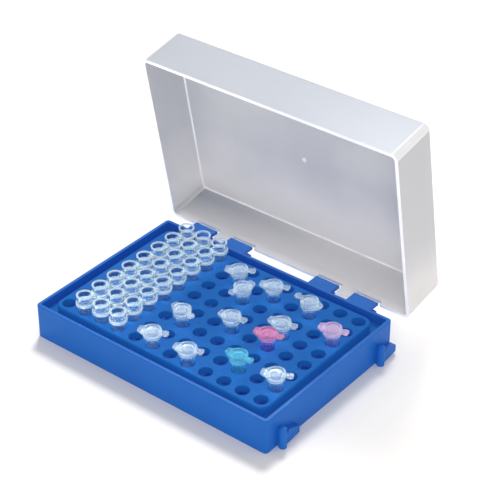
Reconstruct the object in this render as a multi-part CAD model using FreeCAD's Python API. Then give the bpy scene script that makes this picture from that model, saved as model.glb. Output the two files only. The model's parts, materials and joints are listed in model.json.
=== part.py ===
import FreeCAD, Part

import math
import os

# Hinged 96-place rack box for 0.2 ml tubes, with the tubes that stand in it.
# Millimetres. +X runs along the front to the right, +Y towards the hinge, +Z up.
# The origin is the middle of the tray's underside.

V = FreeCAD.Vector
X_AXIS = V(1, 0, 0)
Z_AXIS = V(0, 0, 1)
ORIGIN = V(0, 0, 0)
EPS = 0.01
# How far a cutter runs past the material it cuts
CUT = 1.0

# Well grid
PITCH = 9.0
COLUMNS = 12
ROWS = 8
WELL_R = 2.9
WELL_CHAMFER = 0.12

# Tray
TRAY_L = 118.8
TRAY_W = 81.8
TRAY_H = 15.5
TRAY_CORNER_R = 1.6
TRAY_INNER_R = 0.8
WALL = 1.5
FLOOR = 1.2
LEDGE_Z = 10.0
LEDGE_W = 1.4
EDGE_R = 0.35

# Well plate, dropped into the tray with a channel all round its raised field
DECK_Z = 15.4
FIELD_L = 108.4
FIELD_W = 72.4
FIELD_CORNER_R = 4.5
FIELD_EDGE_R = 0.9
FLANGE_T = 1.5
DECK_T = 3.0
SKIRT_T = 1.6
PLATE_GAP = 0.15

# Hinge: two pairs of tray tabs, a lid lug and a pin in each pair
HINGE_Y = 44.4
HINGE_Z = 10.5
OPEN_ANGLE = 79.0
TAB_INNER_X = 17.2
TAB_W = 11.4
TAB_GAP = 8.0
TAB_BACK_Y = 47.4
TAB_TOP_Z = 15.4
TAB_PLATE_T = 1.6
TAB_EDGE_R = 0.7
BARREL_R = 2.1
BARREL_WEB_RISE = 0.6
PIN_R = 1.0
PIN_RUNNING_GAP = 0.05
PIN_BLIND = 5.0
PIN_SHORT = 0.4
LUG_GAP = 0.3
LUG_R = 2.7
LUG_TOP_Z = 18.0
LUG_WEB_LOW = 1.0
LUG_WEB_OUT = 2.16
LUG_WEB_RISE = 1.6

# Link posts and hook rails on the two short sides
POST_R = 1.6
POST_X = 61.4
POST_H = 9.2
POST_CHAMFER = 0.4
POST_FRONT_Y = -33.4
POST_BACK_Y = 30.8
NECK_W = 1.4
RAIL_START = 1.9
RAIL_LEN = 8.1
RAIL_OUT = 2.4
RAIL_H = 6.6
RAIL_END_TOP = 4.2
RAIL_END_BOTTOM = 1.0
RAIL_NOTCH = 1.2

# Lid, drawn closed and then swung open about the hinge
LID_L = 126.0
LID_W = 85.5
LID_D = 22.1
LID_WALL = 1.5
LID_TOP = 1.5
LID_RIM_Z = 14.5
LID_CORNER_R = 3.0
LID_EDGE_R = 1.3
LID_INNER_EDGE_R = 0.65
NOTCH_GAP = 0.4
NOTCH_TOP_Z = 16.2
REST_RIB_W = 1.2
REST_RIB_H = 4.0
REST_RIB_IN = 1.3
REST_RIB_Z = 15.65
REST_RIB_X = 44.0
GATE_R = 1.1
GATE_H = 0.35

# Tube below its rim, heights measured from the deck's top face
TUBE_TIP_Z = -14.15
TUBE_TIP_R = 1.35
TUBE_TIP_FLAT_R = 0.81
TUBE_TIP_ROUND = 0.5
TUBE_TIP_WALL = 0.6
TUBE_TIP_BORE_RISE = 1.0
TUBE_CONE_R = 2.7
TUBE_CONE_Z = -1.8
TUBE_BODY_R = 2.8
TUBE_WALL = 0.35
BORE_R = 2.45

# Single tube and its hinged cap
RIM_R = 3.7
RIM_Z = 5.8
RIM_T = 1.1
BEAD_R = 3.1
BEAD_Z = 3.5
BEAD_T = 0.5
EAR_OUT = 4.65
EAR_W = 2.6
EAR_T = 0.7
CAP_GAP = 0.06
CAP_R = 3.75
CAP_T = 1.75
CAP_RECESS_R = 2.7
CAP_RECESS = 0.55
CAP_EDGE_R = 0.25
CAP_PLUG_R = 2.2
CAP_PLUG_WALL = 0.5
CAP_PLUG_H = 1.3
CAP_HOLLOW_RISE = 0.4
CAP_HINGE_OUT = 5.2
STRAP_OUT = 5.85
STRAP_W = 2.7
STRAP_ROOT_X = 1.9
STRAP_ROOT_W = 6.3
STRAP_T = 1.1
STRAP_NOTCH_R = 0.4
STRAP_NOTCH_OUT = 4.8
TAB_OUT = 6.9
TAB_ROOT_X = 3.0
TAB_NECK_END_X = 6.4
TAB_NECK_W = 2.1
TAB_PAD_W = 2.9
TAB_PAD_L = 2.2
TAB_T = 0.9
TAB_PAD_ROUND = 0.8

# Eight-tube strip and its strip of plug caps
STRIP_RIM_R = 3.75
STRIP_RIM_Z = 4.6
STRIP_RIM_T = 0.9
STRIP_WEB_W = 2.0
STRIP_WEB_T = 0.8
DOME_R = 3.15
DOME_LIP_R = 3.35
DOME_LIP_T = 0.7
DOME_TOP_Z = 8.3
DOME_BORE_R = 2.75
DOME_FLOOR_Z = 5.6
DOME_DRAFT = 0.1
DOME_FLOOR_SLOPE = 0.5
DOME_PLUG_H = 1.9
DOME_PLUG_BORE_R = 1.6
DOME_PLUG_FLOOR = 0.7
DOME_WEB_W = 2.2
DOME_WEB_T = 1.0
DOME_WEB_BITE = 0.4

# Wells that hold something: strips fill whole columns; single tubes are listed as
# column, row, and the plan direction of the cap's finger tab in degrees from +X.
STRIP_COLUMNS = [1, 2, 3]
SINGLE_TUBES = [
    (5, 0, 16),
    (7, 0, 12),
    (11, 1, 19),
    (9, 1, -2),
    (5, 2, -14),
    (7, 3, 4),
    (9, 3, 10),
    (9, 4, 6),
    (11, 5, 9),
    (6, 5, -98),
    (5, 6, 24),
    (7, 6, 17),
    (9, 6, 179),
]


def well_x(column):
    return (column - (COLUMNS - 1) / 2.0) * PITCH


def well_y(row):
    return (row - (ROWS - 1) / 2.0) * PITCH


def well_name(column, row):
    """Column number from the left and row letter from the front."""
    return str(column + 1) + "abcdefgh"[row]


def box(x0, x1, y0, y1, z0, z1):
    return Part.makeBox(x1 - x0, y1 - y0, z1 - z0, V(x0, y0, z0))


def cylinder(r, z0, z1, x=0.0, y=0.0):
    return Part.makeCylinder(r, z1 - z0, V(x, y, z0), Z_AXIS)


def x_rod(r, x0, x1, y, z):
    return Part.makeCylinder(r, x1 - x0, V(x0, y, z), X_AXIS)


def rounded_block(length, width, z0, z1, r):
    """Upright block centred on the origin with rounded vertical edges."""
    block = box(-length / 2, length / 2, -width / 2, width / 2, z0, z1)
    upright = [e for e in block.Edges if is_vertical(e)]
    return block.makeFillet(r, upright)


def is_vertical(edge):
    a, b = edge.Vertexes[0].Point, edge.Vertexes[-1].Point
    return abs(a.x - b.x) < EPS and abs(a.y - b.y) < EPS and abs(a.z - b.z) > EPS


def edges_at(shape, z):
    """Edges that lie in the horizontal plane at height z."""
    found = []
    for edge in shape.Edges:
        bounds = edge.BoundBox
        if abs(bounds.ZMin - z) < EPS and abs(bounds.ZMax - z) < EPS:
            found.append(edge)
    return found


def revolved(profile):
    """Solid of revolution about Z from a closed list of (radius, height)."""
    points = [V(r, 0, z) for r, z in profile]
    wire = Part.makePolygon(points + points[:1])
    return Part.Face(wire).revolve(ORIGIN, Z_AXIS, 360)


def prism_yz(points, x0, x1):
    """Block between x0 and x1 with a closed outline of (y, z) points."""
    corners = [V(x0, y, z) for y, z in points]
    wire = Part.makePolygon(corners + corners[:1])
    return Part.Face(wire).extrude(V(x1 - x0, 0, 0))


def prism_xy(points, z0, z1):
    """Block between z0 and z1 with a closed outline of (x, y) points."""
    corners = [V(x, y, z0) for x, y in points]
    wire = Part.makePolygon(corners + corners[:1])
    return Part.Face(wire).extrude(V(0, 0, z1 - z0))


def fused(shapes):
    whole = shapes[0].multiFuse(shapes[1:])
    return whole.removeSplitter()


def tab_spans(side):
    """X spans of one side's pair of hinge tabs, inner tab first."""
    near = TAB_INNER_X
    far = near + TAB_W + TAB_GAP
    spans = []
    for start in (near, far):
        ends = sorted((side * start, side * (start + TAB_W)))
        spans.append(tuple(ends))
    return spans


def lug_centre(side):
    return side * (TAB_INNER_X + TAB_W + TAB_GAP / 2)


def hinge_tab(x0, x1):
    """Thin flat tab on the back wall, with the pin's barrel and its web below it."""
    root_y = (TRAY_W - WALL) / 2
    plate = box(x0, x1, root_y, TAB_BACK_Y, TAB_TOP_Z - TAB_PLATE_T, TAB_TOP_Z)
    back = []
    for edge in edges_at(plate, TAB_TOP_Z):
        if abs(edge.BoundBox.YMin - TAB_BACK_Y) < EPS:
            back.append(edge)
    plate = plate.makeFillet(TAB_EDGE_R, back)
    barrel = x_rod(BARREL_R, x0, x1, HINGE_Y, HINGE_Z)
    web = box(x0, x1, root_y, HINGE_Y, HINGE_Z - BARREL_R, HINGE_Z + BARREL_WEB_RISE)
    return fused([plate, barrel, web])


def link_post(side, y):
    """Round post on a thin neck, proud of a short side wall."""
    x = side * POST_X
    post = cylinder(POST_R, 0, POST_H, x, y)
    post = post.makeChamfer(POST_CHAMFER, edges_at(post, POST_H))
    ends = sorted((side * (TRAY_L / 2 - WALL / 2), x))
    neck = box(ends[0], ends[1], y - NECK_W / 2, y + NECK_W / 2, 0, POST_H - POST_CHAMFER)
    return fused([post, neck])


def hook_rail(side, y):
    """Tapering rail beside a link post, with a notch at the post's end."""
    start = y + RAIL_START
    end = start + RAIL_LEN
    inner = side * (TRAY_L / 2 - WALL / 2)
    outer = side * (TRAY_L / 2 + RAIL_OUT)
    ends = sorted((inner, outer))
    outline = [
        (start, 0),
        (start, RAIL_H - RAIL_NOTCH),
        (start + RAIL_NOTCH, RAIL_H - RAIL_NOTCH),
        (start + RAIL_NOTCH, RAIL_H),
        (end, RAIL_END_TOP),
        (end, RAIL_END_BOTTOM),
    ]
    return prism_yz(outline, ends[0], ends[1])


def base_tray():
    body = rounded_block(TRAY_L, TRAY_W, 0, TRAY_H, TRAY_CORNER_R)
    body = body.makeFillet(EDGE_R, edges_at(body, TRAY_H))
    upper = rounded_block(
        TRAY_L - 2 * WALL, TRAY_W - 2 * WALL, LEDGE_Z, TRAY_H + CUT, TRAY_INNER_R
    )
    step = WALL + LEDGE_W
    lower = rounded_block(
        TRAY_L - 2 * step, TRAY_W - 2 * step, FLOOR, LEDGE_Z + CUT, TRAY_INNER_R
    )
    body = body.cut(upper).cut(lower)
    added = []
    for side in (-1, 1):
        for x0, x1 in tab_spans(side):
            added.append(hinge_tab(x0, x1))
        for y in (POST_FRONT_Y, POST_BACK_Y):
            added.append(link_post(side, y))
            added.append(hook_rail(side, y))
    body = fused([body] + added)
    for side in (-1, 1):
        x0, x1 = pin_span(side)
        body = body.cut(x_rod(PIN_R, x0, x1, HINGE_Y, HINGE_Z))
    return body


def pin_span(side):
    """Pin from a blind hole in the inner tab to the outer tab's far face."""
    inner = TAB_INNER_X + TAB_W - PIN_BLIND
    outer = TAB_INNER_X + 2 * TAB_W + TAB_GAP
    return tuple(sorted((side * inner, side * outer)))


def hinge_pin(side):
    x0, x1 = pin_span(side)
    if side > 0:
        return x_rod(PIN_R, x0, x1 - PIN_SHORT, HINGE_Y, HINGE_Z)
    return x_rod(PIN_R, x0 + PIN_SHORT, x1, HINGE_Y, HINGE_Z)


def well_cutter(x, y):
    bottom = DECK_Z - DECK_T - CUT
    hole = cylinder(WELL_R, bottom, DECK_Z + CUT, x, y)
    mouth = Part.makeCone(
        WELL_R,
        WELL_R + WELL_CHAMFER + EPS,
        WELL_CHAMFER + EPS,
        V(x, y, DECK_Z - WELL_CHAMFER),
        Z_AXIS,
    )
    return hole.fuse(mouth)


def well_plate():
    field = rounded_block(FIELD_L, FIELD_W, LEDGE_Z, DECK_Z, FIELD_CORNER_R)
    field = field.makeFillet(FIELD_EDGE_R, edges_at(field, DECK_Z))
    flange = rounded_block(
        TRAY_L - 2 * WALL - 2 * PLATE_GAP,
        TRAY_W - 2 * WALL - 2 * PLATE_GAP,
        LEDGE_Z,
        LEDGE_Z + FLANGE_T,
        TRAY_INNER_R,
    )
    plate = fused([field, flange])
    pocket = rounded_block(
        FIELD_L - 2 * SKIRT_T,
        FIELD_W - 2 * SKIRT_T,
        LEDGE_Z - CUT,
        DECK_Z - DECK_T,
        FIELD_CORNER_R - SKIRT_T,
    )
    cutters = [pocket]
    for column in range(COLUMNS):
        for row in range(ROWS):
            cutters.append(well_cutter(well_x(column), well_y(row)))
    return plate.cut(Part.makeCompound(cutters))


def lid_lug(side):
    """Lug with a pin bore, hanging from the lid's back wall into a tab pair."""
    half = TAB_GAP / 2 - LUG_GAP
    x = lug_centre(side)
    wall_y = LID_W / 2
    web = [
        (wall_y - LID_WALL, HINGE_Z + LUG_WEB_LOW),
        (wall_y - LID_WALL, LUG_TOP_Z),
        (wall_y, LUG_TOP_Z),
        (HINGE_Y + LUG_WEB_OUT, HINGE_Z + LUG_WEB_RISE),
        (HINGE_Y, HINGE_Z),
    ]
    barrel = x_rod(LUG_R, x - half, x + half, HINGE_Y, HINGE_Z)
    return fused([barrel, prism_yz(web, x - half, x + half)])


def rest_rib(x):
    """Small rib inside the lid's front wall that lands on the tray when it is shut."""
    outer = -(LID_W - LID_WALL) / 2
    inner = -(LID_W / 2 - LID_WALL - REST_RIB_IN)
    half = REST_RIB_W / 2
    return box(x - half, x + half, outer, inner, REST_RIB_Z, REST_RIB_Z + REST_RIB_H)


def closed_lid():
    top_z = LID_RIM_Z + LID_D
    shell = rounded_block(LID_L, LID_W, LID_RIM_Z, top_z, LID_CORNER_R)
    shell = shell.makeFillet(LID_EDGE_R, edges_at(shell, top_z))
    hollow = rounded_block(
        LID_L - 2 * LID_WALL,
        LID_W - 2 * LID_WALL,
        LID_RIM_Z - CUT,
        top_z - LID_TOP,
        LID_CORNER_R - LID_WALL,
    )
    hollow = hollow.makeFillet(LID_INNER_EDGE_R, edges_at(hollow, top_z - LID_TOP))
    shell = shell.cut(hollow)
    for side in (-1, 1):
        for x0, x1 in tab_spans(side):
            notch = box(
                x0 - NOTCH_GAP,
                x1 + NOTCH_GAP,
                LID_W / 2 - LID_WALL - CUT,
                LID_W / 2 + CUT,
                LID_RIM_Z - CUT,
                NOTCH_TOP_Z,
            )
            shell = shell.cut(notch)
    added = [cylinder(GATE_R, top_z - LID_TOP - GATE_H, top_z - LID_TOP + EPS)]
    for side in (-1, 1):
        added.append(lid_lug(side))
        added.append(rest_rib(side * REST_RIB_X))
    shell = fused([shell] + added)
    for side in (-1, 1):
        x = lug_centre(side)
        bore = x_rod(
            PIN_R + PIN_RUNNING_GAP, x - TAB_GAP / 2, x + TAB_GAP / 2, HINGE_Y, HINGE_Z
        )
        shell = shell.cut(bore)
    return shell


def lid():
    shape = closed_lid()
    shape.rotate(V(0, HINGE_Y, HINGE_Z), X_AXIS, -OPEN_ANGLE)
    return shape


def tube_outline(rim_r, rim_z, rim_t):
    """Outside of a tube from the tip up: (radius, height above the deck)."""
    return [
        (0, TUBE_TIP_Z),
        (TUBE_TIP_FLAT_R, TUBE_TIP_Z),
        (TUBE_TIP_R, TUBE_TIP_Z + TUBE_TIP_ROUND),
        (TUBE_CONE_R, TUBE_CONE_Z),
        (TUBE_BODY_R, rim_z - rim_t),
        (rim_r, rim_z - rim_t),
        (rim_r, rim_z),
    ]


def tube_inside(rim_z):
    """Inside of a tube from the mouth down."""
    tip_r = TUBE_TIP_R - TUBE_WALL
    return [
        (BORE_R, rim_z),
        (TUBE_CONE_R - TUBE_WALL, TUBE_CONE_Z),
        (tip_r, TUBE_TIP_Z + TUBE_TIP_BORE_RISE),
        (0, TUBE_TIP_Z + TUBE_TIP_WALL),
    ]


def single_tube():
    """Tube with its rim, a bead below it and the hinge ear towards -X."""
    body = revolved(tube_outline(RIM_R, RIM_Z, RIM_T) + tube_inside(RIM_Z))
    bead = cylinder(BEAD_R, BEAD_Z, BEAD_Z + BEAD_T)
    bead = bead.cut(cylinder(BORE_R, BEAD_Z - CUT, BEAD_Z + CUT))
    ear = box(-EAR_OUT, -BORE_R - TUBE_WALL, -EAR_W / 2, EAR_W / 2, RIM_Z - EAR_T, RIM_Z)
    return fused([body, bead, ear])


def single_cap():
    """Flat cap with a hollow plug, a finger tab to +X and a hinge strap to -X."""
    base_z = RIM_Z + CAP_GAP
    top_z = base_z + CAP_T
    disc = cylinder(CAP_R, base_z, top_z)
    strap_outline = [
        (-STRAP_OUT, -STRAP_W / 2),
        (-STRAP_OUT, STRAP_W / 2),
        (-STRAP_ROOT_X, STRAP_ROOT_W / 2),
        (-STRAP_ROOT_X, -STRAP_ROOT_W / 2),
    ]
    strap = prism_xy(strap_outline, base_z, base_z + STRAP_T)
    notch = cylinder(STRAP_NOTCH_R, base_z - CUT, top_z + CUT, -STRAP_NOTCH_OUT, 0)
    strap = strap.cut(notch)
    half = TAB_NECK_W / 2
    neck = box(TAB_ROOT_X, TAB_NECK_END_X, -half, half, top_z - TAB_T, top_z)
    half = TAB_PAD_W / 2
    pad = box(TAB_OUT - TAB_PAD_L, TAB_OUT, -half, half, top_z - TAB_T, top_z)
    pad = pad.makeFillet(TAB_PAD_ROUND, [e for e in pad.Edges if is_vertical(e)])
    plug = cylinder(CAP_PLUG_R, base_z - CAP_PLUG_H, base_z + EPS)
    plug = plug.makeChamfer(CAP_EDGE_R, edges_at(plug, base_z - CAP_PLUG_H))
    body = fused([disc, strap, neck, pad, plug])
    hollow_z = base_z - CAP_PLUG_H - CUT
    hollow = cylinder(CAP_PLUG_R - CAP_PLUG_WALL, hollow_z, base_z + CAP_HOLLOW_RISE)
    recess = Part.makeCone(
        CAP_RECESS_R, CAP_RECESS_R + CAP_EDGE_R, CAP_RECESS + EPS, V(0, 0, top_z - CAP_RECESS), Z_AXIS
    )
    return body.cut(hollow).cut(recess)


def strip_of_tubes():
    """Eight tubes down one column, joined at their rims."""
    one = revolved(tube_outline(STRIP_RIM_R, STRIP_RIM_Z, STRIP_RIM_T) + tube_inside(STRIP_RIM_Z))
    parts = []
    for row in range(ROWS):
        tube = one.copy()
        tube.translate(V(0, well_y(row), 0))
        parts.append(tube)
    for row in range(ROWS - 1):
        y0 = well_y(row) + BORE_R + TUBE_WALL
        y1 = well_y(row + 1) - BORE_R - TUBE_WALL
        z0 = STRIP_RIM_Z - STRIP_WEB_T
        parts.append(box(-STRIP_WEB_W / 2, STRIP_WEB_W / 2, y0, y1, z0, STRIP_RIM_Z))
    return fused(parts)


def strip_of_caps():
    """Eight hollow plug caps on one web, seated in a strip of tubes."""
    seat = STRIP_RIM_Z + CAP_GAP
    plug_z = seat - DOME_PLUG_H
    profile = [
        (0, plug_z),
        (CAP_PLUG_R - CAP_EDGE_R, plug_z),
        (CAP_PLUG_R, plug_z + CAP_EDGE_R),
        (CAP_PLUG_R, seat),
        (DOME_R, seat),
        (DOME_R, DOME_TOP_Z - DOME_LIP_T),
        (DOME_LIP_R, DOME_TOP_Z - DOME_LIP_T),
        (DOME_LIP_R, DOME_TOP_Z),
        (DOME_BORE_R, DOME_TOP_Z),
        (DOME_BORE_R - DOME_DRAFT, DOME_FLOOR_Z),
        (DOME_PLUG_BORE_R, DOME_FLOOR_Z - DOME_FLOOR_SLOPE),
        (DOME_PLUG_BORE_R, plug_z + DOME_PLUG_FLOOR),
        (0, plug_z + DOME_PLUG_FLOOR),
    ]
    one = revolved(profile)
    parts = []
    for row in range(ROWS):
        cap = one.copy()
        cap.translate(V(0, well_y(row), 0))
        parts.append(cap)
    for row in range(ROWS - 1):
        y0 = well_y(row) + DOME_R - DOME_WEB_BITE
        y1 = well_y(row + 1) - DOME_R + DOME_WEB_BITE
        parts.append(box(-DOME_WEB_W / 2, DOME_WEB_W / 2, y0, y1, seat, seat + DOME_WEB_T))
    return fused(parts)


def placed(shape, column, row, turn):
    copy = shape.copy()
    copy.rotate(ORIGIN, Z_AXIS, turn)
    copy.translate(V(well_x(column), well_y(row), DECK_Z))
    return copy


def build():
    nodes = {
        "base_tray": base_tray(),
        "well_plate": well_plate(),
        "lid": lid(),
        "hinge_pin_left": hinge_pin(-1),
        "hinge_pin_right": hinge_pin(1),
    }
    tubes = strip_of_tubes()
    caps = strip_of_caps()
    for number, column in enumerate(STRIP_COLUMNS, start=1):
        shift = V(well_x(column), 0, DECK_Z)
        for name, shape in (("tube_strip_", tubes), ("cap_strip_", caps)):
            copy = shape.copy()
            copy.translate(shift)
            nodes[name + str(number)] = copy
    tube = single_tube()
    cap = single_cap()
    for column, row, turn in SINGLE_TUBES:
        label = well_name(column, row)
        nodes["tube_" + label] = placed(tube, column, row, turn)
        nodes["cap_" + label] = placed(cap, column, row, turn)
    return nodes


os.makedirs("parts", exist_ok=True)
for node, shape in build().items():
    shape.exportStep(os.path.join("parts", node + ".step"))
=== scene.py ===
import json
import math

import bpy
from mathutils import Matrix, Vector


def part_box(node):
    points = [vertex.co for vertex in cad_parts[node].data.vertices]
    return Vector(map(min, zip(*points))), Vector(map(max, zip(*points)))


MM = 0.001
# Height above which the lid is painted darker (painted shade), and the length of that change.
LID_PAINTED_SHADE_FROM = 42 * MM
LID_FADE = 14 * MM
# Positions of the painted shade and painted light on the lid's hinge wall as the lid stands open:
# Y inwards from its rim, X along it.
WALL_SHADE_FROM = 47 * MM
WALL_SHADE_TO = 63 * MM
WALL_WHITE_FROM = 52 * MM
WALL_WHITE_TO = 43 * MM
WALL_LEFT = -60 * MM
WALL_MIDDLE = 10 * MM
WALL_SHADE = (0.40, 0.43, 0.50)
WHITE = (1.0, 1.0, 1.0)

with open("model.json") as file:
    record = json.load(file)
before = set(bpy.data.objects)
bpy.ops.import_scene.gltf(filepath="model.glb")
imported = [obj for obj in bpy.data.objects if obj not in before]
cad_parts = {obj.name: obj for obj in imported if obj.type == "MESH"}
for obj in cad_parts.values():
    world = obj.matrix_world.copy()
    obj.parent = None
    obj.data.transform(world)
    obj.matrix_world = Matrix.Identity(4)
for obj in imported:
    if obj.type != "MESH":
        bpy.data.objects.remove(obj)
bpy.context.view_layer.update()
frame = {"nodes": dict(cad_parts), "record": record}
record = frame["record"]
nodes = frame["nodes"]
SLOT_OF = {s["node"]: s["material_slot"] for s in record["subparts"]}

# ---------------------------------------------------------------- materials


def shader(name, color, roughness, **values):
    """A new material with its node tree, Principled shader and object coordinates."""
    mat = bpy.data.materials.new(name)
    mat.use_nodes = True
    tree = mat.node_tree
    bsdf = tree.nodes["Principled BSDF"]
    bsdf.inputs["Base Color"].default_value = (*color, 1.0)
    bsdf.inputs["Roughness"].default_value = roughness
    for key, value in values.items():
        bsdf.inputs[key.replace("_", " ")].default_value = value
    coords = tree.nodes.new("ShaderNodeTexCoord")
    return mat, tree, bsdf, coords.outputs["Object"]


def noise(tree, vector, scale, detail=3.0, roughness=0.5):
    node = tree.nodes.new("ShaderNodeTexNoise")
    node.inputs["Scale"].default_value = scale
    node.inputs["Detail"].default_value = detail
    node.inputs["Roughness"].default_value = roughness
    tree.links.new(vector, node.inputs["Vector"])
    return node.outputs["Fac"]


def remap(tree, value, low, high, start=0.3, end=0.7):
    node = tree.nodes.new("ShaderNodeMapRange")
    node.inputs["From Min"].default_value = start
    node.inputs["From Max"].default_value = end
    node.inputs["To Min"].default_value = low
    node.inputs["To Max"].default_value = high
    tree.links.new(value, node.inputs["Value"])
    return node.outputs["Result"]


def blend_colors(tree, factor, dark, light):
    node = tree.nodes.new("ShaderNodeMix")
    node.data_type = "RGBA"
    colors = [s for s in node.inputs if s.type == "RGBA"]
    colors[0].default_value = (*dark, 1.0)
    colors[1].default_value = (*light, 1.0)
    tree.links.new(factor, node.inputs["Factor"])
    return next(s for s in node.outputs if s.type == "RGBA")


def bump(tree, bsdf, height, depth_m, strength=1.0, under=None):
    node = tree.nodes.new("ShaderNodeBump")
    node.inputs["Strength"].default_value = strength
    node.inputs["Distance"].default_value = depth_m
    tree.links.new(height, node.inputs["Height"])
    if under is not None:
        tree.links.new(under, node.inputs["Normal"])
    tree.links.new(node.outputs["Normal"], bsdf.inputs["Normal"])
    return node.outputs["Normal"]


def moulded_blue(name, dark, light, roughness, glow=None, sheen=0.25):
    """Satin moulded plastic: faint flow clouding, spark-eroded grain, fine scuffs."""
    mat, tree, bsdf, at = shader(name, light, roughness)
    clouds = noise(tree, at, 55.0, 4.0)
    color = blend_colors(tree, remap(tree, clouds, 0.0, 1.0), dark, light)
    tree.links.new(color, bsdf.inputs["Base Color"])
    scuffs = noise(tree, at, 900.0, 5.0, 0.65)
    rough = remap(tree, scuffs, roughness - 0.05, roughness + 0.09)
    tree.links.new(rough, bsdf.inputs["Roughness"])
    waves = bump(tree, bsdf, noise(tree, at, 120.0, 1.0), 0.00006, 0.35)
    grain = noise(tree, at, 3800.0, 2.0)
    bump(tree, bsdf, grain, 0.00002, 0.3, waves)
    bsdf.inputs["Specular IOR Level"].default_value = sheen
    # Optional painted glow: emission that lightens the plastic.
    if glow is not None:
        bsdf.inputs["Emission Color"].default_value = (*glow, 1.0)
        bsdf.inputs["Emission Strength"].default_value = 1.0
    return mat


def above(tree, at, level, blur=0.15 * MM):
    """1 above a height in metres and 0 below it, with a short soft change."""
    split = tree.nodes.new("ShaderNodeSeparateXYZ")
    tree.links.new(at, split.inputs["Vector"])
    return remap(tree, split.outputs["Z"], 0.0, 1.0, level - blur, level + blur)


def clear_plastic(name, color, clear, milky, thick_from, glow=0.0, painted_glow_color=None):
    """Clear polypropylene: see-through where thin, milky in its thick rims.

    The stretch of a tube between the plate and its rim gets a painted glow in streaks (emission).
    """
    mat, tree, bsdf, at = shader(name, color, 0.1)
    bsdf.inputs["IOR"].default_value = 1.16
    # Painted glow: emission in the plastic's own colour.
    bsdf.inputs["Emission Color"].default_value = (*color, 1.0)
    bsdf.inputs["Emission Strength"].default_value = glow
    bsdf.inputs["Coat Weight"].default_value = 0.15
    bsdf.inputs["Coat Roughness"].default_value = 0.08
    flow = noise(tree, at, 420.0, 3.0)
    clouds = remap(tree, flow, -0.03, 0.03)
    thick = above(tree, at, thick_from)
    through = remap(tree, thick, clear, milky, 0.0, 1.0)
    # Painted glow in streaks on the stretch between the plate and the rim.
    if painted_glow_color is not None:
        bsdf.inputs["Emission Color"].default_value = (*painted_glow_color, 1.0)
        over_plate = above(tree, at, top_of("well_plate"), 0.5 * MM)
        below_rim = remap(tree, thick, 1.0, 0.0, 0.0, 1.0)
        streaks = remap(tree, noise(tree, at, 700.0, 2.0), 0.5, 1.5)
        lit = product(tree, [over_plate, below_rim, streaks])
        tree.links.new(lit, bsdf.inputs["Emission Strength"])
    add = tree.nodes.new("ShaderNodeMath")
    add.operation = "ADD"
    add.use_clamp = True
    tree.links.new(through, add.inputs[0])
    tree.links.new(clouds, add.inputs[1])
    tree.links.new(add.outputs["Value"], bsdf.inputs["Transmission Weight"])
    haze = remap(tree, noise(tree, at, 900.0, 3.0), 0.05, 0.2)
    tree.links.new(haze, bsdf.inputs["Roughness"])
    bump(tree, bsdf, noise(tree, at, 380.0, 2.0), 0.00004, 0.4)
    return mat


def bright_edge(name, color, glow):
    """Rounded edges of clear parts with a painted highlight: a glow (emission) that shows them as
    white lines.
    """
    mat, tree, bsdf, at = shader(name, color, 0.3)
    bsdf.inputs["Transmission Weight"].default_value = 0.35
    bsdf.inputs["IOR"].default_value = 1.16
    bsdf.inputs["Coat Weight"].default_value = 0.3
    bsdf.inputs["Coat Roughness"].default_value = 0.1
    bsdf.inputs["Emission Color"].default_value = (*color, 1.0)
    painted_light = remap(tree, noise(tree, at, 350.0, 2.0), glow * 0.4, glow * 1.6)
    tree.links.new(painted_light, bsdf.inputs["Emission Strength"])
    return mat


def span(tree, at, axis, start, end):
    """0 to 1 between two positions along one axis, in metres."""
    split = tree.nodes.new("ShaderNodeSeparateXYZ")
    tree.links.new(at, split.inputs["Vector"])
    return remap(tree, split.outputs[axis], 0.0, 1.0, start, end)


def product(tree, values):
    """Product of several node outputs."""
    total = values[0]
    for value in values[1:]:
        node = tree.nodes.new("ShaderNodeMath")
        node.operation = "MULTIPLY"
        tree.links.new(total, node.inputs[0])
        tree.links.new(value, node.inputs[1])
        total = node.outputs["Value"]
    return total


def mix_to(tree, factor, color, target):
    """Moves a linked colour towards a fixed one."""
    node = tree.nodes.new("ShaderNodeMix")
    node.data_type = "RGBA"
    colors = [s for s in node.inputs if s.type == "RGBA"]
    tree.links.new(color, colors[0])
    colors[1].default_value = (*target, 1.0)
    tree.links.new(factor, node.inputs["Factor"])
    return next(s for s in node.outputs if s.type == "RGBA")


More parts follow.
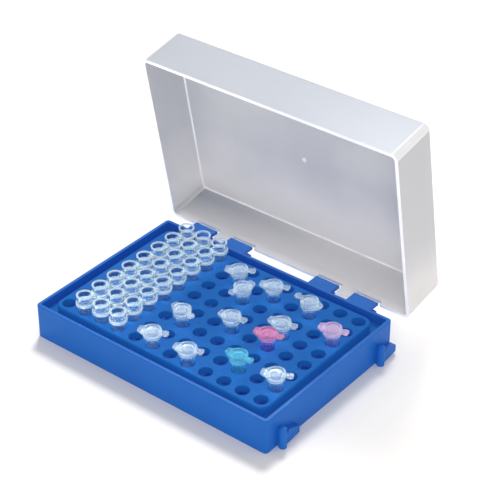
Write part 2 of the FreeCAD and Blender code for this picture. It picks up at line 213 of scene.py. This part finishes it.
def frosted_lid(name, painted_shade_color, light, hinge_wall=False):
    """Milky lid: mostly scattering, some light through, fine matt grain, and painted shade that
    makes it darker above a set height.
    """
    mat, tree, bsdf, at = shader(name, light, 0.4)
    clouds = remap(tree, noise(tree, at, 22.0, 3.0), -0.35, 0.35)
    # Painted shade: darker above a set height, mixed with random clouding.
    thin = above(tree, at, LID_PAINTED_SHADE_FROM, LID_FADE)
    add = tree.nodes.new("ShaderNodeMath")
    add.operation = "SUBTRACT"
    tree.links.new(clouds, add.inputs[0])
    tree.links.new(thin, add.inputs[1])
    whiter = remap(tree, add.outputs["Value"], 0.0, 1.0, -1.0, 0.1)
    color = blend_colors(tree, whiter, painted_shade_color, light)
    if hinge_wall:
        # Painted shade, darkest deep in the lid and towards its left end, and painted light with
        # a glow (emission) that fades it to white at the rim.
        deep = span(tree, at, "Y", WALL_SHADE_FROM, WALL_SHADE_TO)
        left = remap(tree, span(tree, at, "X", WALL_LEFT, WALL_MIDDLE), 1.0, 0.3, 0.0, 1.0)
        color = mix_to(tree, product(tree, [deep, left]), color, WALL_SHADE)
        near_rim = span(tree, at, "Y", WALL_WHITE_FROM, WALL_WHITE_TO)
        color = mix_to(tree, near_rim, color, WHITE)
        bsdf.inputs["Emission Color"].default_value = (*WHITE, 1.0)
        painted_light = remap(tree, near_rim, 0.0, 0.2, 0.0, 1.0)
        tree.links.new(painted_light, bsdf.inputs["Emission Strength"])
    tree.links.new(color, bsdf.inputs["Base Color"])
    bsdf.inputs["Transmission Weight"].default_value = 0.3
    bsdf.inputs["Coat Weight"].default_value = 0.5
    bsdf.inputs["Coat Roughness"].default_value = 0.3
    bsdf.inputs["IOR"].default_value = 1.3
    rough = remap(tree, noise(tree, at, 1100.0, 4.0), 0.34, 0.5)
    tree.links.new(rough, bsdf.inputs["Roughness"])
    waves = bump(tree, bsdf, noise(tree, at, 60.0, 1.0), 0.00012, 0.3)
    bump(tree, bsdf, noise(tree, at, 3000.0, 2.0), 0.00002, 0.25, waves)
    return mat


def lid_corner(name, glow_low, glow_high):
    """The thicker rounded corners of the lid, with a painted highlight: a light colour and a glow
    (emission) along their length.
    """
    mat, tree, bsdf, at = shader(name, (0.97, 0.97, 0.98), 0.25)
    bsdf.inputs["Coat Weight"].default_value = 0.6
    bsdf.inputs["Coat Roughness"].default_value = 0.15
    bsdf.inputs["Emission Color"].default_value = (*WHITE, 1.0)
    glow = remap(tree, noise(tree, at, 150.0, 2.0), glow_low, glow_high)
    tree.links.new(glow, bsdf.inputs["Emission Strength"])
    return mat


def top_of(node):
    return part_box(node)[1].z


# Thickness of the milky stretch at the top of each clear piece.
CAP_MILKY = 1.85 * MM
RIM_MILKY = 1.1 * MM
STRIP_RIM_MILKY = 0.9 * MM
LIP_MILKY = 0.7 * MM

cap_from = min(top_of(n) for n in nodes if n.startswith("cap_") and "strip" not in n)
cap_from -= CAP_MILKY
rim_from = min(top_of(n) for n in nodes if n.startswith("tube_") and "strip" not in n)
rim_from -= RIM_MILKY
CLEAR = (0.84, 0.95, 1.0)
# Painted glow: emission in the blue plastic, so that the wells are never black.
GLOW = (0.007, 0.043, 0.165)
DIM_GLOW = (0.006, 0.018, 0.11)

# Painted shade colour of the lid's upper part, then the lid's own light colour.
LID_PAINTED_SHADE = (0.73, 0.735, 0.765)
LID_LIGHT = (0.97, 0.95, 0.945)

MATERIALS = {
    # One blue plastic in two copies: the plate's is painted darker (painted shade) and glows more
    # (painted glow) than the tray's.
    "tray_blue": moulded_blue(
        "tray_blue", (0.003, 0.105, 0.375), (0.005, 0.122, 0.425), 0.42, DIM_GLOW, 0.16
    ),
    "plate_blue": moulded_blue(
        "plate_blue", (0.001, 0.078, 0.28), (0.003, 0.092, 0.325), 0.5, GLOW, 0.06
    ),
    "lid_frosted": frosted_lid("lid_frosted", LID_PAINTED_SHADE, LID_LIGHT),
    "pin_white": moulded_blue("pin_white", (0.72, 0.74, 0.76), (0.80, 0.81, 0.83), 0.25),
    "tube_clear": clear_plastic(
        "tube_clear", CLEAR, 0.97, 0.72, rim_from, painted_glow_color=(0.001, 0.012, 0.035)
    ),
    "cap_clear": clear_plastic("cap_clear", CLEAR, 0.97, 0.82, cap_from, 0.02),
    "tube_teal": clear_plastic(
        "tube_teal", (0.45, 0.88, 0.96), 0.95, 0.72, rim_from, painted_glow_color=(0.0, 0.024, 0.045)
    ),
    "cap_teal": clear_plastic("cap_teal", (0.2, 0.70, 0.86), 0.93, 0.72, cap_from, 0.02),
    "tube_pink": clear_plastic(
        "tube_pink", (0.78, 0.70, 0.98), 0.95, 0.72, rim_from, painted_glow_color=(0.003, 0.005, 0.03)
    ),
    "cap_pink": clear_plastic("cap_pink", (0.95, 0.46, 0.66), 0.94, 0.72, cap_from, 0.02),
    "tube_mauve": clear_plastic(
        "tube_mauve", (0.90, 0.84, 0.98), 0.96, 0.72, rim_from, painted_glow_color=(0.001, 0.009, 0.032)
    ),
    "cap_mauve": clear_plastic("cap_mauve", (0.90, 0.74, 0.90), 0.94, 0.72, cap_from, 0.02),
}
strip_rim_from = top_of("tube_strip_1") - STRIP_RIM_MILKY
lip_from = top_of("cap_strip_1") - LIP_MILKY
STRIP_TUBES = clear_plastic(
    "strip_tubes", CLEAR, 0.98, 0.6, strip_rim_from, painted_glow_color=(0.010, 0.022, 0.036)
)
STRIP_CAPS = clear_plastic("strip_caps", CLEAR, 0.985, 0.6, lip_from)

# Painted highlights for the bevelled edges of the clear parts.
EDGES = {
    "clear": bright_edge("edge_clear", (0.93, 0.97, 1.0), 0.65),
    "teal": bright_edge("edge_teal", (0.50, 0.90, 1.0), 0.2),
    "pink": bright_edge("edge_pink", (1.0, 0.75, 0.86), 0.45),
    "mauve": bright_edge("edge_mauve", (0.97, 0.88, 1.0), 0.35),
}

ROUNDING = {
    "base_tray": 0.25 * MM,
    "well_plate": 0.2 * MM,
    "lid": 0.3 * MM,
    "hinge_pin_left": 0.1 * MM,
    "hinge_pin_right": 0.1 * MM,
}
SMALL_ROUNDING = 0.14 * MM
WELD_WITHIN = 0.001 * MM
SHARP_FROM = 0.6


def soften(obj, width, edge=None):
    """Rounds the crisp CAD edges so that they catch the light."""
    custom = obj.data.attributes.get("custom_normal")
    if custom is not None:
        obj.data.attributes.remove(custom)
    for polygon in obj.data.polygons:
        polygon.use_smooth = True
    weld = obj.modifiers.new("weld", "WELD")
    weld.merge_threshold = WELD_WITHIN
    bevel = obj.modifiers.new("round", "BEVEL")
    bevel.width = width
    bevel.segments = 2
    bevel.limit_method = "ANGLE"
    bevel.angle_limit = SHARP_FROM
    bevel.harden_normals = True
    bevel.use_clamp_overlap = True
    # The bevel faces take the edge material, a painted highlight.
    if edge is not None:
        obj.data.materials.append(edge)
        bevel.material = 1


for name, obj in nodes.items():
    material = MATERIALS[SLOT_OF[name]]
    if name.startswith("tube_strip"):
        material = STRIP_TUBES
    if name.startswith("cap_strip"):
        material = STRIP_CAPS
    obj.data.materials.clear()
    obj.data.materials.append(material)
    edge = EDGES.get(SLOT_OF[name].split("_")[1])
    if name.startswith("tube_") and "strip" not in name:
        edge = None
    soften(obj, ROUNDING.get(name, SMALL_ROUNDING), edge)

# The lid stands open, so its own directions are turned by the hinge angle.
OPEN_DEGREES = 79.0
LEAN = math.radians(OPEN_DEGREES)
LID_X = Vector((1.0, 0.0, 0.0))
LID_Y = Vector((0.0, math.cos(LEAN), -math.sin(LEAN)))
LID_Z = Vector((0.0, math.sin(LEAN), math.cos(LEAN)))
FLAT = 0.985
TILTED = 0.1
RIM_BAND = 0.5 * MM
RIM_FACE = 30 * MM * MM
GATE_H = 0.35 * MM
LUG_Y = 48 * MM
LUG_Z = 15 * MM

# Extra lid materials: painted highlights on the rim face, gate mark and inner rounded corners, a
# faint painted glow on the outer corners, and painted shade and light on the hinge wall.
lid_mesh = nodes["lid"].data
for extra in (
    lid_corner("lid_corner", 0.06, 0.16),
    lid_corner("lid_rim", 0.12, 0.26),
    lid_corner("lid_outer_corner", -0.02, 0.02),
    frosted_lid("lid_hinge_wall", LID_PAINTED_SHADE, LID_LIGHT, True),
    # Painted light: the front wall gets a lighter, bluer colour than the rest of the lid.
    frosted_lid("lid_front_wall", (0.84, 0.89, 0.98), (0.9, 0.94, 1.0)),
):
    lid_mesh.materials.append(extra)
CORNER, RIM, OUTER_CORNER, HINGE_WALL, FRONT_WALL = 1, 2, 3, 4, 5

facing_out = [p for p in lid_mesh.polygons if p.normal.dot(LID_Z) < -FLAT and p.area > RIM_FACE]
panel = max(facing_out, key=lambda p: p.area)
panel_at = panel.center.dot(LID_Z)
rim_at = min(p.center.dot(LID_Z) for p in facing_out)
middle_y = sum(p.center.dot(LID_Y) * p.area for p in facing_out) / sum(p.area for p in facing_out)
for polygon in lid_mesh.polygons:
    along = [polygon.normal.dot(axis) for axis in (LID_X, LID_Y, LID_Z)]
    depth = polygon.center.dot(LID_Z)
    across = polygon.center.dot(LID_Y) - middle_y
    steep = max(abs(value) for value in along)
    if along[2] < -FLAT and abs(depth - rim_at) < RIM_BAND:
        polygon.material_index = RIM
    # The gate mark's face takes the corners' painted highlight.
    elif along[2] < -FLAT and abs(panel_at - GATE_H - depth) < GATE_H / 2:
        polygon.material_index = CORNER
    elif polygon.center.y < LUG_Y and polygon.center.z < LUG_Z:
        polygon.material_index = HINGE_WALL
    elif steep < FLAT:
        sideways = along[0] * polygon.center.x + along[1] * across
        if sideways > 0:
            polygon.material_index = OUTER_CORNER
        elif abs(along[2]) > TILTED:
            polygon.material_index = CORNER
    elif along[1] < -FLAT and across > 0:
        polygon.material_index = HINGE_WALL
    elif along[1] < -FLAT and across < 0:
        polygon.material_index = FRONT_WALL

# ------------------------------------------------------------ floor and light

world = bpy.data.worlds.new("studio")
bpy.context.scene.world = world
world.use_nodes = True
background = world.node_tree.nodes["Background"]
background.inputs["Color"].default_value = (*WHITE, 1.0)
background.inputs["Strength"].default_value = 0.58

bpy.ops.mesh.primitive_plane_add(size=8.0, location=(0.0, 0.0, -0.0001))
floor = bpy.context.object
floor.name = "floor"
paper, tree, bsdf, at = shader("paper", (0.95, 0.95, 0.95), 0.85)
tree.links.new(
    blend_colors(tree, noise(tree, at, 40.0), (0.955, 0.935, 0.915), (0.97, 0.95, 0.93)),
    bsdf.inputs["Base Color"],
)
bsdf.inputs["Specular IOR Level"].default_value = 0.1
floor.data.materials.append(paper)


def softbox(name, place, target, size, power, stopped_by=None, lights=None):
    light = bpy.data.lights.new(name, "AREA")
    light.shape = "SQUARE"
    light.size = size
    light.energy = power
    lamp = bpy.data.objects.new(name, light)
    lamp.location = place
    aim = Vector(target) - Vector(place)
    lamp.rotation_euler = aim.to_track_quat("-Z", "Y").to_euler()
    bpy.context.scene.collection.objects.link(lamp)
    if stopped_by is not None:
        lamp.light_linking.blocker_collection = stopped_by
        lamp.light_linking.receiver_collection = lights


# Thin frosted plastic lets most of the overhead light through, so one part of that
# light passes the lid and the clear tubes and reaches what stands under them.
OPAQUE = ("base_tray", "well_plate", "hinge_pin_left", "hinge_pin_right")
HIGH = (-0.42, 0.70, 1.24)
HIGH_SIZE = 0.35
TRAY_MIDDLE = (0.0, 0.0, 0.02)
solid = bpy.data.collections.new("solid")
under_lid = bpy.data.collections.new("under_lid")
for name, obj in nodes.items():
    if name in OPAQUE:
        solid.objects.link(obj)
    if name != "lid":
        under_lid.objects.link(obj)
solid.objects.link(floor)
under_lid.objects.link(floor)

softbox("through", HIGH, TRAY_MIDDLE, HIGH_SIZE, 9.8, solid, under_lid)
softbox("overhead", HIGH, TRAY_MIDDLE, HIGH_SIZE, 6.0)
softbox("front", (0.8, -1.1, 0.45), (0.0, 0.0, 0.04), 0.9, 5.5)

# Light crosses many thin clear walls before it leaves the tubes.
BOUNCES = 32
cycles = bpy.context.scene.cycles
cycles.max_bounces = BOUNCES
cycles.transmission_bounces = BOUNCES
cycles.transparent_max_bounces = BOUNCES

# -------------------------------------------------------------------- camera

camera_data = bpy.data.cameras.new("camera")
camera_data.sensor_width = 36.0
camera_data.lens = 120.3
camera_data.clip_end = 20.0
camera = bpy.data.objects.new("camera", camera_data)
right = Vector((0.7803, 0.6254, 0.0))
up = Vector((-0.3467, 0.4326, 0.8322))
back = Vector((0.5205, -0.6494, 0.5544))
turn = Matrix((right, up, back)).transposed().to_4x4()
camera.matrix_world = Matrix.Translation((0.3421, -0.40677, 0.40237)) @ turn
bpy.context.scene.collection.objects.link(camera)
bpy.context.scene.camera = camera
bpy.context.scene.view_settings.view_transform = "Standard"
